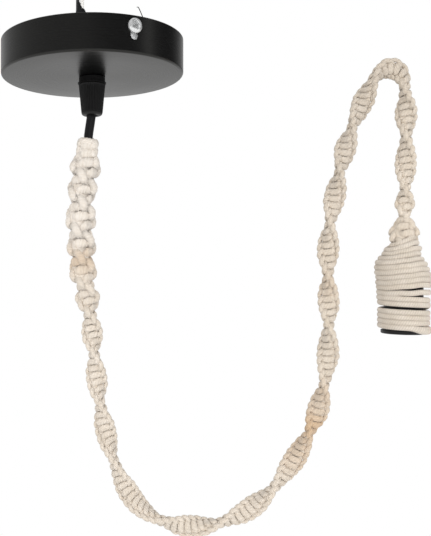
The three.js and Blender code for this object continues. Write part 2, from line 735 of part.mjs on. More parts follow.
// The same two conductors inside the lamp holder, down to the terminal screws
function lowerWire(side) {
  const start = ROUTE.at(-1)[1] - GAP;
  const x = side * WIRE_APART;
  const end = INSERT_TOP_Z + WIRE_R + GAP;
  const back = TERMINAL_HEAD_R + WIRE_R + GAP;
  return wire([
    [x, 0, start],
    [x, 0, start - WIRE_R],
    [side * (WIRE_APART + TERMINAL_OUT) / 2, back / 2, (start + end) / 2],
    [side * TERMINAL_OUT, back, end],
  ], WIRE_R);
}

// Put the set together
const cupSlots = [slotTool(1), slotTool(-1)];
place("ceiling_cup", cut(revolve(cupProfile(), CUP_SIDES), ...cupSlots), SATIN_BLACK);
place("mounting_bracket", bracket(), ZINC);
place("side_screw_front", sideScrew(1), ZINC);
place("side_screw_back", sideScrew(-1), ZINC);
place("grip_stem", gripStem(), BLACK_PLASTIC);
place("grip_washer", gripWasher(), ZINC);
place("grip_locknut", gripLocknut(), ZINC);
place("grip_collet", gripCollet(), BLACK_PLASTIC);
place("grip_cone", gripCone(), BLACK_PLASTIC);
place("flex_cable", loft(flexRings()), BLACK_FLEX);
place("macrame_sleeve", macrameSleeve(), COTTON);
place("line_wire_top", upperWire(-1), BLACK_FLEX);
place("neutral_wire_top", upperWire(1), WHITE_WIRE);
place("line_copper_top", copperEnd(-1), COPPER);
place("neutral_copper_top", copperEnd(1), COPPER);
place("holder_wrap", holderWrap(), COTTON, HOLDER_X);
place("holder_cap", holderCap(), BLACK_PLASTIC, HOLDER_X);
place("holder_shell", holderShell(), BLACK_PLASTIC, HOLDER_X);
place("holder_insert", holderInsert(), CERAMIC, HOLDER_X);
place("lamp_screw_shell", screwShell(), BRASS, HOLDER_X);
place("centre_contact", centreContact(), BRASS, HOLDER_X);
place("terminal_screw_line", terminalScrew(-1), BRASS, HOLDER_X);
place("terminal_screw_neutral", terminalScrew(1), BRASS, HOLDER_X);
place("line_wire_low", lowerWire(-1), BLACK_FLEX, HOLDER_X);
place("neutral_wire_low", lowerWire(1), WHITE_WIRE, HOLDER_X);

export default root;
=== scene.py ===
"""Pendant cord set, dressed: camera and cord first, then cotton, cup, grip, holder, floor and light.
The row frame is in metres: origin on the ceiling plane, +Z up, +X to the lamp holder, +Y away."""

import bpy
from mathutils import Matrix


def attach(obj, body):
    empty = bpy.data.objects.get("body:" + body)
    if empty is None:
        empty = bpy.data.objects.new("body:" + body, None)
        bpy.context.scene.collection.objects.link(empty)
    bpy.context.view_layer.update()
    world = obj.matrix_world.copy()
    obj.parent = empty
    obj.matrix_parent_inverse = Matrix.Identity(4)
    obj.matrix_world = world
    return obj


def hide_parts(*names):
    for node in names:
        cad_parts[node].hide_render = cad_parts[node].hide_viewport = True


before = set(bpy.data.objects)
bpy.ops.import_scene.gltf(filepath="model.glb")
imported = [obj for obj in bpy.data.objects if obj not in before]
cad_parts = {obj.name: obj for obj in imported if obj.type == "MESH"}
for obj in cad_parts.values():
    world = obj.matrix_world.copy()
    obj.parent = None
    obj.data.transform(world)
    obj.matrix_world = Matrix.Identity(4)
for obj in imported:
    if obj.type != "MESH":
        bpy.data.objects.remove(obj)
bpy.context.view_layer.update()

import math

import bmesh
import bpy
import numpy as np
from mathutils import Vector

MM = 0.001
TURN = 2 * math.pi
scene = bpy.context.scene
scene.view_settings.view_transform = "Standard"

# Camera: level, straight along +Y. The photo's centre of view sits over the cup, so the frame is shifted
PHOTO_W, PHOTO_H = 431, 536
PX_PER_MM = 1.51
CAM_DISTANCE = 488
CAM_PX = (90.0, 268.0)
CUP_PX = (92.0, 43.4)
SENSOR = 36

cam_data = bpy.data.cameras.new("camera")
camera = bpy.data.objects.new("camera", cam_data)
scene.collection.objects.link(camera)
scene.camera = camera
camera.location = (
    (CAM_PX[0] - CUP_PX[0]) / PX_PER_MM * MM,
    -CAM_DISTANCE * MM,
    (CUP_PX[1] - CAM_PX[1]) / PX_PER_MM * MM,
)
camera.rotation_euler = (math.pi / 2, 0, 0)
cam_data.sensor_width = SENSOR
cam_data.lens = CAM_DISTANCE * PX_PER_MM / PHOTO_H * SENSOR
cam_data.shift_x = (PHOTO_W / 2 - CAM_PX[0]) / PHOTO_H
cam_data.clip_start = 0.01
cam_data.clip_end = 20

# Route of the flex, the same points as in the part's source
ROUTE = np.array([
    (0, -17), (0, -34), (-0.4, -47), (-2.3, -61), (-4.4, -82), (-6.6, -98), (-7.5, -114), (-7.1, -132),
    (-6.4, -148), (-3.2, -167), (-0.6, -185), (3.2, -223), (6.2, -243), (10.8, -263.5), (18.4, -286.5),
    (29.7, -304.5), (43, -314.5), (60, -319.5), (80.9, -318.5), (100.5, -310.5), (117, -298), (133, -277),
    (143.8, -258), (151.6, -236), (155.6, -212), (156.8, -188), (156.3, -138), (158.2, -116), (168, -69),
    (174.3, -50.5), (180, -37.5), (184.6, -27.2), (189.2, -20.2), (195.8, -16.4), (202.4, -18.4),
    (206.3, -24.8), (207.6, -37), (208, -64), (206.6, -124), (206.2, -142),
]) * MM


def smooth_curve(points, steps=60):
    """Centripetal curve through the points, with this many steps to each span."""
    out = []
    last = len(points) - 1
    for i in range(last):
        p1, p2 = points[i], points[i + 1]
        p0 = points[i - 1] if i else 2 * p1 - p2
        p3 = points[i + 2] if i + 2 <= last else 2 * p2 - p1
        d0, d1, d2 = (np.linalg.norm(b - a) ** 0.5 for a, b in ((p0, p1), (p1, p2), (p2, p3)))
        t1 = ((p1 - p0) / d0 - (p2 - p0) / (d0 + d1) + (p2 - p1) / d1) * d1
        t2 = ((p2 - p1) / d1 - (p3 - p1) / (d1 + d2) + (p3 - p2) / d2) * d1
        square, cube = -3 * p1 + 3 * p2 - 2 * t1 - t2, 2 * p1 - 2 * p2 + t1 + t2
        for t in np.linspace(0, 1, steps, endpoint=False):
            out.append(p1 + t1 * t + square * t**2 + cube * t**3)
    out.append(points[-1])
    return np.array(out)


LINE = smooth_curve(ROUTE)
LINE_S = np.r_[0, np.cumsum(np.linalg.norm(np.diff(LINE, axis=0), axis=1))]
ROUTE_LENGTH = LINE_S[-1]
# The route by even lengths, and its smoothed direction there
EVEN_S = np.linspace(0, ROUTE_LENGTH, 1650)
EVEN = np.stack([np.interp(EVEN_S, LINE_S, LINE[:, k]) for k in (0, 1)], 1)
SLOPE = np.gradient(EVEN, EVEN_S, axis=0)
SLOPE = np.pad(SLOPE, ((4, 4), (0, 0)), mode="edge")
SLOPE = np.stack([np.convolve(SLOPE[:, k], np.ones(9) / 9, "valid") for k in (0, 1)], 1)
SLOPE /= np.linalg.norm(SLOPE, axis=1)[:, None]

# Edge-on places of the sleeve, by length along the route
NECKS = np.array([
    71.3, 87.0, 108.3, 124.2, 143.0, 161.5, 187.9, 221.1, 259.3, 308.7, 348.1, 390.4, 435.4, 468.4,
    508.4, 541.3, 576.0, 611.4, 641.9, 677.5, 717.0, 747.6, 782.2, 797.7, 818.7,
])
TWIST_S = np.r_[0, 62, NECKS] * MM
TWIST_A = np.r_[0, 0, math.pi * (np.arange(len(NECKS)) + 0.5)]
# Length along the route, and the sleeve's half width and half thickness there
SIZE_S, SIZE_A, SIZE_B = np.array([
    (46.1, 6.3, 5.2), (50, 7.5, 6.0), (58.5, 7.5, 6.2), (63.5, 10.6, 7.4), (66, 11.3, 7.6), (75, 10.2, 7.4),
    (97, 10.7, 7.1), (124, 10.3, 6.9), (142, 9.0, 5.6), (156, 8.1, 4.6), (170, 7.4, 3.6), (240, 7.3, 3.4),
    (500, 7.3, 3.4), (781.7, 7.0, 3.5), (790.7, 6.4, 3.9), (799, 5.9, 3.5), (804, 8.2, 5.4), (809, 9.8, 7.2),
    (816, 9.6, 8.0),
]).T * MM
# Angle by which the strands are turned further than the flex, by length along the route
AHEAD_S = np.array([130, 170, 780, 800]) * MM
AHEAD = np.array([0.1, 0.05, 0.05, 0.1])


def on_route(s, ahead=0.0):
    """Point, side and back direction of the twisting flex at the lengths s, turned further by ahead."""
    s = np.asarray(s, float)
    x, z = (np.interp(s, EVEN_S, EVEN[:, k]) for k in (0, 1))
    tx, tz = (np.interp(s, EVEN_S, SLOPE[:, k]) for k in (0, 1))
    zero = np.zeros_like(x)
    centre = np.stack([x, zero, z], -1)
    side = np.stack([-tz, zero, tx], -1)
    back = np.stack([zero, zero + 1, zero], -1)
    a = np.interp(s, TWIST_S, TWIST_A)[..., None] + ahead
    return centre, side * np.cos(a) + back * np.sin(a), back * np.cos(a) - side * np.sin(a)


# Meshes
def mesh_object(name, verts, faces, smooth=True, sharp=None):
    """Object with a mesh of its own. Edges over the angle sharp, in degrees, stay sharp."""
    mesh = bpy.data.meshes.new(name)
    mesh.from_pydata(np.asarray(verts).reshape(-1, 3).tolist(), [], faces)
    if smooth:
        mesh.polygons.foreach_set("use_smooth", [True] * len(mesh.polygons))
    obj = bpy.data.objects.new(name, mesh)
    scene.collection.objects.link(obj)
    if sharp:
        mesh.set_sharp_from_angle(angle=math.radians(sharp))
    return obj


def skin(name, rings, looped=False, sharp=None, uv=None):
    """Surface over rings (count, points, 3): capped at both ends, or looped back on itself.
    With uv, the layer "along" holds these lengths as u and the share of the way round as v."""
    rings = np.asarray(rings)
    count, n = rings.shape[:2]
    i = np.arange(count if looped else count - 1)[:, None]
    j = np.arange(n)[None, :]
    after = ((i + 1) % count) * n
    quads = np.stack([i * n + j, i * n + (j + 1) % n, after + (j + 1) % n, after + j], -1).reshape(-1, 4)
    faces = quads.tolist()
    if not looped:
        faces += [list(range(n))[::-1], list(range((count - 1) * n, count * n))]
    obj = mesh_object(name, rings, faces, sharp=sharp)
    if uv is not None:
        layer = obj.data.uv_layers.new(name="along")
        u = np.asarray(uv)
        here, there = u[i + 0 * j], u[(i + 1 + 0 * j) % count]
        corner_u = np.stack([here, here, there, there], -1)
        corner_v = np.stack([j + 0 * i, j + 1 + 0 * i, j + 1 + 0 * i, j + 0 * i], -1) / n
        flat = np.stack([corner_u, corner_v], -1).reshape(-1, 2)
        full = np.zeros((len(obj.data.loops), 2))
        full[: len(flat)] = flat
        layer.data.foreach_set("uv", full.ravel())
    bm = bmesh.new()
    bm.from_mesh(obj.data)
    bmesh.ops.recalc_face_normals(bm, faces=bm.faces)
    bm.to_mesh(obj.data)
    bm.free()
    return obj


def lathe(name, profile, sides=96, x=0.0, sharp=35):
    """Solid of revolution from a closed profile of (radius, height) in millimetres."""
    a = np.linspace(0, TURN, sides, endpoint=False)
    p = np.array(profile, float) * MM
    rings = np.stack([p[:, :1] * np.cos(a), p[:, :1] * np.sin(a), np.repeat(p[:, 1:], sides, 1)], -1)
    rings[..., 0] += x * MM
    return skin(name, rings, looped=True, sharp=sharp)


def arc(r, z, radius, start, stop, steps):
    """Points of a profile round the centre (r, z), by angles in degrees."""
    a = np.radians(np.linspace(start, stop, steps + 1))
    return [(r + radius * math.cos(t), z + radius * math.sin(t)) for t in a]


def carve(obj, cutter):
    """Takes the cutter out of obj, and removes the cutter."""
    bpy.context.view_layer.update()
    mod = obj.modifiers.new("carve", "BOOLEAN")
    mod.operation = "DIFFERENCE"
    mod.solver = "EXACT"
    mod.object = cutter
    bpy.context.view_layer.update()
    made = bpy.data.meshes.new_from_object(obj.evaluated_get(bpy.context.evaluated_depsgraph_get()))
    obj.modifiers.clear()
    obj.data = made
    bpy.data.objects.remove(cutter)
    made.polygons.foreach_set("use_smooth", [True] * len(made.polygons))
    made.set_sharp_from_angle(angle=math.radians(30))


# The flex first: two round cores side by side in one jacket, turning with the sleeve
FLEX_START = 4 * MM
FLEX_CORE_R = 1.5 * MM
FLEX_STEP = 1.6 * MM


def flex_outline():
    """Two rounds that meet in a groove, as (across, back)."""
    angles = np.radians(np.linspace(-120, 120, 12))
    right = [(FLEX_CORE_R + FLEX_CORE_R * math.cos(a), FLEX_CORE_R * math.sin(a)) for a in angles]
    left = [(-u, v) for u, v in right[::-1]]
    return np.array(right + left)


flex_s = np.r_[np.arange(FLEX_START, ROUTE_LENGTH, FLEX_STEP), ROUTE_LENGTH]
flex_centre, flex_side, flex_back = on_route(flex_s)
outline = flex_outline()
flex_rings = flex_centre[:, None] + flex_side[:, None] * outline[None, :, :1]
flex_rings = flex_rings + flex_back[:, None] * outline[None, :, 1:]
flex = skin("flex", flex_rings)


def add_tone(obj, rows):
    """Colour layer that the cotton reads: warmth, stain and painted shade of each vertex."""
    layer = obj.data.color_attributes.new("tone", "FLOAT_COLOR", "POINT")
    layer.data.foreach_set("color", np.c_[rows, np.ones(len(rows))].ravel())


def rope(name, line, outward, radius, flat, wide, tone, points=15, lay=6.0, depth=0.14):
    """Rope of three plies, as one lobed section that turns along the line. It is flat times the radius
    thick outward, and wide times the radius across. The lay is one turn's length in millimetres."""
    along = np.gradient(line, axis=0)
    along /= np.linalg.norm(along, axis=1)[:, None]
    n = outward - (outward * along).sum(1)[:, None] * along
    n /= np.linalg.norm(n, axis=1)[:, None]
    b = np.cross(along, n)
    length = np.r_[0, np.cumsum(np.linalg.norm(np.diff(line, axis=0), axis=1))]
    beta = np.arange(points) * TURN / points
    lobe = 1 - depth * (1 - np.abs(np.cos(1.5 * beta))) ** 2
    turn = -TURN * length / (lay * MM)
    a = beta[None, :] + turn[:, None]
    r = radius[:, None] * lobe[None, :]
    off = (r * np.cos(a) * flat[:, None])[..., None] * n[:, None]
    off = off + (r * np.sin(a) * wide[:, None])[..., None] * b[:, None]
    obj = skin(name, line[:, None] + off, uv=length / MM)
    add_tone(obj, np.repeat(tone, points, axis=0))
    return obj


# Half knots: the length of one, longer at the top than below, and their count along the route
KNOT_STEP = 0.25
KNOT_S = np.arange(46.4 * MM, 816.5 * MM, KNOT_STEP * MM)
KNOT_GAP = np.interp(KNOT_S / MM, [46, 58, 124, 150, 166], [4.6, 5.9, 5.9, 5.0, 4.42])
KNOT_N = np.r_[0, np.cumsum(KNOT_STEP / KNOT_GAP[:-1])]
KNOTS = KNOT_N[-1]
# Path of a working strand through one half knot, from its bar in front to its bar behind: how far across
# as a share of the half width, how far forward (2.45 is the bar's place), and how far down in half knots.
# The next half knot repeats it turned half round, and the other strand runs one half knot behind.
HALF_KNOT = [
    (0.0, 2.45, 0.0), (0.34, 2.35, -0.05), (0.62, 1.3, -0.03), (0.86, 0.55, 0.1), (1.0, 0.7, 0.34),
    (1.02, 1.25, 0.6), (0.92, 1.9, 0.86), (0.76, 2.1, 1.08), (0.64, 1.0, 1.24), (0.6, -0.5, 1.3),
    (0.52, -1.8, 1.22), (0.3, -2.35, 1.08),
]
# Millimetres to one unit of each of these numbers, for smoothing the path in true proportion
HALF_KNOT_SIZE = (5.5, 1, 4.4)
# The path's furthest places forward and across
HALF_KNOT_FORWARD = 2.45
HALF_KNOT_ACROSS = 1.03
STEPS_PER_POINT = 3
STRAND_R = 1.66 * MM
STRAND_POINTS = 13


def wander(x, seed, amount):
    """Smooth pseudo-random drift of a number along x, from a few fixed waves."""
    g = np.random.default_rng(seed)
    out = np.zeros_like(x)
    for k in range(6):
        out += np.sin(x * g.uniform(0.3, 2.4) + g.uniform(0, TURN)) * g.uniform(0.4, 1)
    return out * amount / 2.2


def ease(x, low, high):
    """Smooth step from 0 at low to 1 at high."""
    x = np.clip((x - low) / (high - low), 0, 1)
    return x * x * (3 - 2 * x)


# Tan stains: length along the route, half width and strength
STAINS = [(127, 7, 0.4), (425, 14, 0.3), (445, 10, 0.7), (468, 9, 0.3), (541, 8, 0.2)]


def cotton_tone(s):
    """Warmth, stain and painted shade along the sleeve: paler at the top, stained low on the right leg, and
    painted shade deepest at the top bend of the right leg.
    """
    mm = s / MM
    warm = np.interp(mm, [46, 118, 128, 150, 420, 520, 640, 815], [0.0, 0.1, 0.5, 0.45, 0.6, 0.7, 0.6, 0.7])
    # Painted shade along the route, as a share of the full darkening
    painted_shade_at = [118, 130, 410, 470, 570, 624, 690, 752, 805]
    painted_shade = np.interp(mm, painted_shade_at, [0, 0.12, 0.15, 0.3, 0.4, 0.85, 1, 0.5, 0.15])
    stain = sum(much * np.exp(-(((mm - at) / wide) ** 2)) for at, wide, much in STAINS)
    return warm, stain, painted_shade


def strand(index):
    """One of the two working strands, laid point by point through every half knot and smoothed."""
    table = np.array(HALF_KNOT)
    points = []
    for j in range(-index, int(KNOTS)):
        sign = 1 if j % 2 == 0 else -1
        points.append(np.c_[sign * table[:, 0], sign * table[:, 1], table[:, 2] + j + index])
    unit = smooth_curve(np.concatenate(points) * HALF_KNOT_SIZE, STEPS_PER_POINT) / HALF_KNOT_SIZE
    unit = unit[(unit[:, 2] > 0) & (unit[:, 2] < KNOTS)]
    across, forward, n = unit.T
    s = np.interp(n, KNOT_N, KNOT_S)
    thick = np.interp(s / MM, [130, 168, 795, 803], [1.62, 1.0, 1.0, 1.3])
    radius = STRAND_R * thick * (1 + wander(n, 11 + index, 0.05))
    # The bar in front or behind is flatter and wider than the loop at the side
    bar = ease(1 - np.abs(across) / 0.8, 0, 1)
    flat = 0.86 - 0.2 * bar
    wide = 1.05 + 0.3 * bar
    half_w = np.interp(s, SIZE_S, SIZE_A) * (1 + wander(n, 21 + index, 0.03)) - 0.9 * radius
    half_t = np.interp(s, SIZE_S, SIZE_B) * (1 + wander(n, 31 + index, 0.03)) - 0.66 * radius
    u = half_w * across / HALF_KNOT_ACROSS
    v = -half_t * forward / HALF_KNOT_FORWARD
    c, e1, e2 = on_route(s, np.interp(s, AHEAD_S, AHEAD)[:, None])
    line = c + e1 * u[:, None] + e2 * v[:, None]
    out = e1 * (across**3)[:, None] - e2 * (forward / HALF_KNOT_FORWARD)[:, None]
    # Warmth, stain and painted shade along the route, each wandering a little
    warm, stain, painted_shade = cotton_tone(s)
    fade = np.clip(np.minimum(n, KNOTS - n) * 3, 0.35, 1)
    tone = np.stack([warm + wander(n, 41 + index, 0.06), stain, painted_shade + wander(n * 0.7, 51 + index, 0.08)], 1)
    name = f"sleeve_strand_{index + 1}"
    return rope(name, line, out, radius * fade, flat, wide, tone, points=STRAND_POINTS)


strands = [strand(0), strand(1)]

# Plain cotton cores that fill the sleeve under its knots. They taper at both ends, but cover the flex
CORE_STEP = 1.5
CORE_POINTS = 14
CORE_END = 4 * MM
CORE_LEAST_W, CORE_LEAST_T = 3.1 * MM, 1.7 * MM


def core(name, start, stop, share):
    """Core from one length to another, as a share of the sleeve's half width and half thickness."""
    s = np.arange(start, stop, CORE_STEP) * MM
    c, e1, e2 = on_route(s)
    a = np.arange(CORE_POINTS) * TURN / CORE_POINTS
    fade = np.clip(np.minimum(s - s[0], s[-1] - s) / CORE_END, 0.15, 1)[:, None]
    w = (np.interp(s, SIZE_S, SIZE_A) * share)[:, None] * fade
    t = (np.interp(s, SIZE_S, SIZE_B) * share)[:, None] * fade
    w, t = np.maximum(w, CORE_LEAST_W), np.maximum(t, CORE_LEAST_T)
    rings = c[:, None] + (w * np.cos(a))[..., None] * e1[:, None] + (t * np.sin(a))[..., None] * e2[:, None]
    obj = skin(name, rings, uv=s / MM)
    # Painted shade in the middle of some slits between the bars
    slit_shade = np.clip(0.4 + wander(s / MM / 3, 71, 0.8), 0, 1)[:, None] * np.sin(a) ** 8
    warm = cotton_tone(s)[0][:, None] + 0 * slit_shade
    add_tone(obj, np.stack([warm, 0 * slit_shade, slit_shade], -1).reshape(-1, 3))
    return obj


cores = [
    core("sleeve_filler_top", 47.5, 160, 0.74),
    core("sleeve_filler_end", 796, 818, 0.74),
    core("sleeve_filler_mid", 151, 809, 0.6),
]


def top_turn():
    """The sleeve begins with one flat turn of rope, closed behind the flex."""
    steps, half_w, half_t = 90, 5.0 * MM, 4.2 * MM
    a = np.linspace(0.5, 1.62, steps) * TURN + 0.25
    s = np.linspace(48.4, 50.6, steps) * MM
    c, e1, e2 = on_route(s)
    out = e1 * np.cos(a)[:, None] + e2 * np.sin(a)[:, None]
    line = c + e1 * (half_w * np.cos(a))[:, None] + e2 * (half_t * np.sin(a))[:, None]
    ones = np.ones(steps)
    count = np.arange(steps)
    radius = 2.1 * MM * np.clip(np.minimum(count, count[::-1]) / 6 + 0.3, 0, 1)
    tone = np.stack([0.05 * ones, 0 * ones, 0 * ones], 1)
    return rope("sleeve_top_turn", line, out, radius, ones, ones * 1.15, tone, points=STRAND_POINTS)


first_turn = top_turn()

for piece in (flex, *strands, *cores, first_turn):
    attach(piece, "root")
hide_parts("flex_cable")
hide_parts("macrame_sleeve")
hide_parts("macrame_sleeve")

# Rope wound round the lamp holder, in millimetres: depth under the ceiling, the winding's outer radius
# there, and how far it leans to the left
HOLDER_X = 206.2
WRAP_DEPTH, WRAP_OUT, WRAP_LEAN = np.array([
    (129, 8.0, 0), (131, 9.0, 0), (134.4, 11.0, -0.3), (137, 11.7, 0.5), (139.2, 12.4, 1.3), (141, 13.0, 1.9),
    (144, 15.0, 1.9), (146.8, 16.8, 1.9), (150, 17.2, 1.1), (155, 17.5, 0), (164, 17.0, 0), (171, 16.4, 0),
    (192, 16.3, 0),
]).T
WRAP_TOP, WRAP_TURNS, WRAP_PITCH, WRAP_R = -132.2, 16.8, 3.28, 1.86
WRAP_SLACK = 2.0
WRAP_STEPS = 260
WRAP_POINTS = 15


def wrap_rope():
    """Left-handed winding from the left side. The first turns tilt up to the right, gaps are open between
    four slack turns, and the rope's thicker end drops over the lip on the right."""
    turn = np.arange(0, WRAP_TURNS, 1 / WRAP_STEPS)
    a = turn * TURN - math.pi
    across = np.cos(a)
    # Gaps that open to the right under the tenth turn and the eleventh, and a step down in the thirteenth
    first = 1.8 * ease(across, -1.1, 0.3)
    second = 0.7 * ease(across, -0.95, -0.4) + 1.0 * ease(across, -0.2, 0.45)
    drop = WRAP_SLACK * ease(turn, 12.41, 12.55) - second * (turn < 11) - first * (turn < 10)
    tilt = 1.6 * across * (1 - ease(turn, 0.3, 5.0))
    tail = ease(turn, WRAP_TURNS - 0.58, WRAP_TURNS - 0.46)
    z = WRAP_TOP - WRAP_PITCH * turn - drop + tilt - 1.3 * tail + wander(turn * 5.0, 61, 0.14)
    uneven = ease(turn, 0.6, 1.4) * ease(-turn, -5.6, -4.4)
    lean = across * np.interp(-z, WRAP_DEPTH, WRAP_LEAN)
    r = np.interp(-z, WRAP_DEPTH, WRAP_OUT) - lean - 0.85 * WRAP_R
    r += wander(turn * 3.1, 62, 0.15) + 0.3 * tail
    r += uneven * (0.35 * np.cos(a + 2.9) * np.sin(turn * 2.2) + wander(turn * 9, 65, 0.25))
    line = np.stack([HOLDER_X + r * np.cos(a), r * np.sin(a), z], 1) * MM
    out = np.stack([np.cos(a), np.sin(a), np.zeros_like(a)], 1)
    end = np.minimum(turn, turn[-1] - turn)
    radius = WRAP_R * MM * np.clip(0.45 + end * 18, 0, 1) * (1 + 0.45 * tail)
    ones = np.ones(len(z))
    glue = 0.22 * ease(turn, WRAP_TURNS - 0.47, WRAP_TURNS - 0.4)
    glue = glue * (1 - ease(turn, WRAP_TURNS - 0.36, WRAP_TURNS - 0.25))
    # Warmth, a glue stain near the end, and a little painted shade that wanders
    tone = np.stack([0.5 + wander(turn * 2, 63, 0.08), glue, 0.32 + wander(turn * 4, 64, 0.08)], 1)
    flat = ones * 0.85
    return rope("wrap_rope", line, out, radius, flat, ones, tone, points=WRAP_POINTS, lay=4.4, depth=0.24)


wrap = wrap_rope()
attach(wrap, "root")
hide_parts("holder_wrap")


def fuzz(name, source, points, count, seed, spread):
    """Loose cotton fibres on a rope of so many points to the ring: three-sided hairs of two spans each,
    with lengths that follow spread, in millimetres."""
    g = np.random.default_rng(seed)
    co = np.empty(len(source.data.vertices) * 3)
    source.data.vertices.foreach_get("co", co)
    co = co.reshape(-1, points, 3)
    centre = co.mean(1)
    i = g.integers(4, len(co) - 4, count)
    j = g.integers(0, points, count)
    root = co[i, j]
    out = root - centre[i]
    out /= np.linalg.norm(out, axis=1)[:, None]
    lean = g.normal(size=(count, 3))
    lean /= np.linalg.norm(lean, axis=1)[:, None]
    long = g.uniform(0.5, 1.0, count) ** 2 * spread * MM
    thick = g.uniform(0.012, 0.024, count) * MM
    verts, faces = [], []
    for q in range(count):
        d1 = out[q] * 0.8 + lean[q] * 0.7
        d2 = out[q] * 0.25 + lean[q]
        pts = [root[q] - out[q] * 0.1 * MM, root[q] + d1 * long[q] * 0.5, root[q] + (d1 + d2) * long[q] * 0.5]
        side = np.cross(d1, out[q] + 0.1)
        side /= np.linalg.norm(side) + 1e-12
        up = np.cross(side, d1)
        up /= np.linalg.norm(up) + 1e-12
        base = len(verts)
        for p, w in zip(pts, (1, 0.8, 0.3)):
            for t in (0, TURN / 3, 2 * TURN / 3):
                verts.append(p + (side * math.cos(t) + up * math.sin(t)) * thick[q] * w)
        for ring in (0, 3):
            for t in range(3):
                u = (t + 1) % 3
                faces.append([base + ring + t, base + ring + u, base + ring + 3 + u, base + ring + 3 + t])
        faces.append([base + 6, base + 7, base + 8])
        faces.append([base + 2, base + 1, base])
    obj = mesh_object(name, np.array(verts), faces)
    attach(obj, "root")
    return obj


fuzz_sleeve = [fuzz(f"sleeve_fuzz_{k + 1}", strands[k], STRAND_POINTS, 1500, 71 + k, 1.5) for k in (0, 1)]
fuzz_wrap = fuzz("wrap_fuzz", wrap, WRAP_POINTS, 900, 75, 1.2)

# Ceiling cup in millimetres. Its front screw is so many degrees to the right of its nearest point
CUP_R, CUP_H, CUP_WALL, CUP_EDGE, CUP_BORE = 60.0, 22.5, 0.8, 1.6, 5.2
SCREW_AZ, SCREW_Z, SLOT_LOW, SLOT_W = 24.5, -6.4, -14.4, 5.0


def screw_direction(side):
    """Angle from +X to the front screw (side 1) or to the back screw (side -1)."""
    return math.radians(SCREW_AZ - 90) + (0 if side > 0 else math.pi)


def slot_cutter(side):
    """Upright slot with round ends, cut through the cup's wall at a screw."""
    half = SLOT_W / 2
    top, low = SCREW_Z, SLOT_LOW + half
    a = [math.radians(t) for t in np.linspace(0, 180, 13)]
    outline = [(half * math.cos(t), top + half * math.sin(t)) for t in a]
    outline += [(-half * math.cos(t), low - half * math.sin(t)) for t in a]
    rings = [[(d, y, z) for y, z in outline] for d in (CUP_R - 5, CUP_R + 5)]
    cutter = skin("cutter", np.array(rings) * MM, sharp=30)
    cutter.rotation_euler = (0, 0, screw_direction(side))
    return cutter


cup = lathe("cup", [
    (CUP_BORE, -CUP_H), (20, -CUP_H), (40, -CUP_H),
    *arc(CUP_R - CUP_EDGE, CUP_EDGE - CUP_H, CUP_EDGE, -90, 0, 8),
    (CUP_R, -15), (CUP_R, -8), (CUP_R, -0.3), (CUP_R - 0.25, 0),
    (CUP_R - CUP_WALL + 0.25, 0), (CUP_R - CUP_WALL, -0.3),
    *arc(CUP_R - CUP_EDGE, CUP_EDGE - CUP_H, CUP_EDGE - CUP_WALL, 0, -90, 5),
    (CUP_BORE, CUP_WALL - CUP_H),
], sides=240)
for side in (1, -1):
    carve(cup, slot_cutter(side))
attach(cup, "root")
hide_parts("ceiling_cup")


# Side screw in millimetres: its head as (radius, height), its thread, its cross, and how far its seat
# stands off the cup's wall
SCREW_HEAD = [
    (0.01, 2.6), (1.3, 2.56), (2.4, 2.42), (3.3, 2.12), (4.05, 1.6), (4.4, 1.05), (4.5, 0.6), (4.5, 0.12),
    (4.35, 0),
]
THREAD_R, THREAD_ROOT, THREAD_POINTS = 2.0, 1.68, 24
THREAD_START, THREAD_STEP, THREAD_END = -0.15, 0.35, -9
CROSS_LONG, CROSS_WIDE, CROSS_FLOOR, CROSS_TOP, CROSS_TURN = 3.0, 0.85, 0.4, 2.9, 24
SCREW_OUT = 0.3


def cross_cutter(turn):
    """One arm of the cross recess, narrower at its floor."""
    long, wide = CROSS_LONG, CROSS_WIDE
    corners = [(-1, -1), (1, -1), (1, 1), (-1, 1)]
    low = [(x * long * 0.5, y * wide * 0.6, CROSS_FLOOR) for x, y in corners]
    high = [(x * long, y * wide, CROSS_TOP) for x, y in corners]
    cutter = skin("cutter", np.array([low, high]) * MM, sharp=30)
    cutter.rotation_euler = (0, 0, math.radians(turn + CROSS_TURN))
    return cutter


def side_screw(name, side):
    """Pan head with a cross recess, on a threaded shank."""
    thread = []
    for i in range(THREAD_POINTS):
        thread.append((THREAD_R if i % 2 else THREAD_ROOT, THREAD_START - i * THREAD_STEP))
    profile = SCREW_HEAD + [(THREAD_R, 0)] + thread + [(1.2, THREAD_END), (0.01, THREAD_END)]
    obj = lathe(name, profile, sides=64, sharp=40)
    for turn in (0, 90):
        carve(obj, cross_cutter(turn))
    a = screw_direction(side)
    out = CUP_R + SCREW_OUT
    obj.rotation_euler = (0, math.pi / 2, a)
    obj.location = Vector((math.cos(a) * out, math.sin(a) * out, SCREW_Z)) * MM
    bpy.context.view_layer.update()
    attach(obj, "root")
    return obj


screws = [side_screw("pan_screw_front", 1), side_screw("pan_screw_back", -1)]
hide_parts("side_screw_front")
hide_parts("side_screw_back")

# Cord grip: collar, flange and ribbed cone
stem = lathe("grip_stem_turned", [
    (3.7, -15), (4.6, -15), (4.9, -15.3), (4.9, -22.8), (8.5, -22.8), (8.7, -23.0), (8.7, -26.2),
    (9.3, -26.2), (9.4, -26.3), (9.4, -27.1), (9.3, -27.2), (5.9, -27.2), (5.9, -34), (3.7, -34),
], sides=72)
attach(stem, "root")
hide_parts("grip_stem")

RIBS, RIB_STEPS, RIB_DEPTH = 44, 6, 0.38


